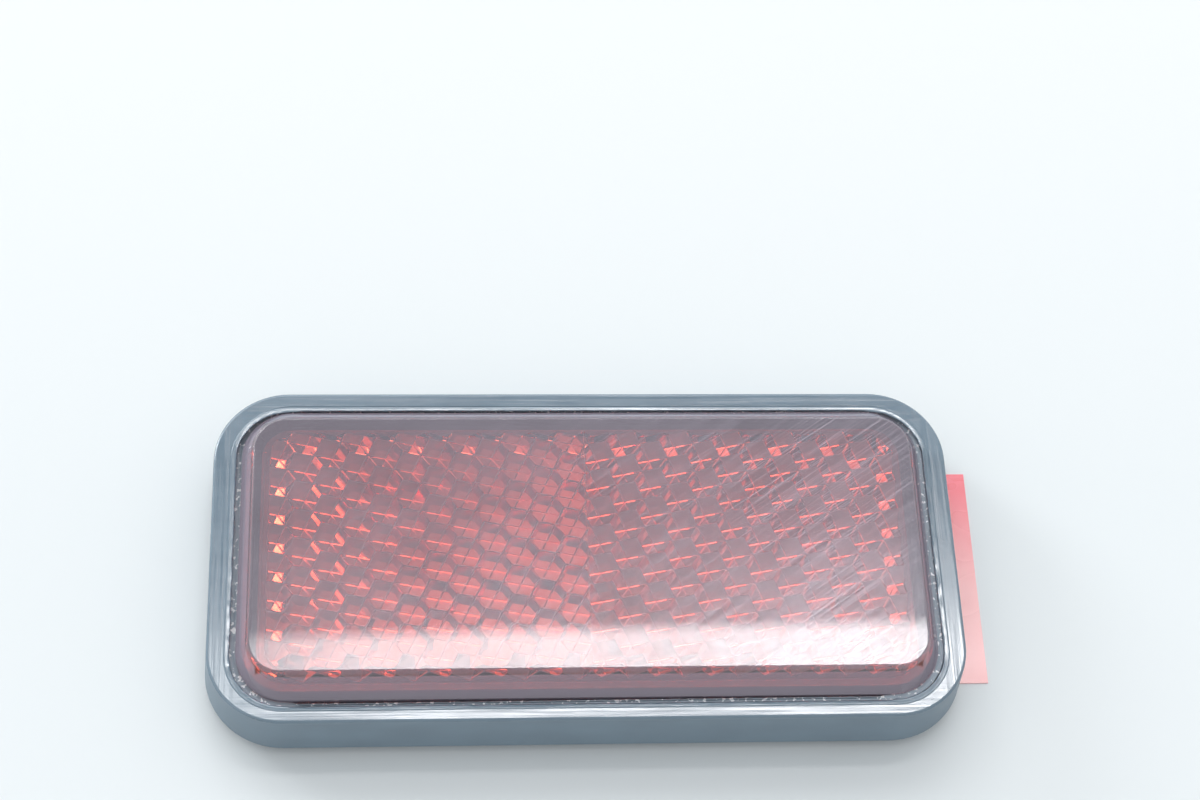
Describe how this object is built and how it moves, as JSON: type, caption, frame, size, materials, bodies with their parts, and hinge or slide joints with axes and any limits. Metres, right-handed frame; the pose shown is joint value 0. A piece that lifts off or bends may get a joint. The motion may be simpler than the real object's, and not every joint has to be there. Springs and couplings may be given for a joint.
{
  "type": "stick-on reflector",
  "caption": "Rectangular red retro-reflector in a black moulded tray, with an adhesive foam back and a pull-off liner.",
  "frame": {"origin": "centre of the back face, on the outside of the release liner, which the reflector lies on", "axes": "+X along the reflector, towards the liner's pull tab; +Y across it; +Z out of the lens"},
  "size_m": [0.082, 0.038, 0.0103],
  "materials": {
    "housing": "moulded, satin",
    "lens": "clear red moulded acrylic, polished",
    "foam_tape": "closed-cell acrylic foam",
    "release_liner": "translucent red film"
  },
  "bodies": {
    "root": {"housing": "housing", "lens": "lens", "foam_tape": "foam_tape", "release_liner": "release_liner"}
  },
  "joints": []
}
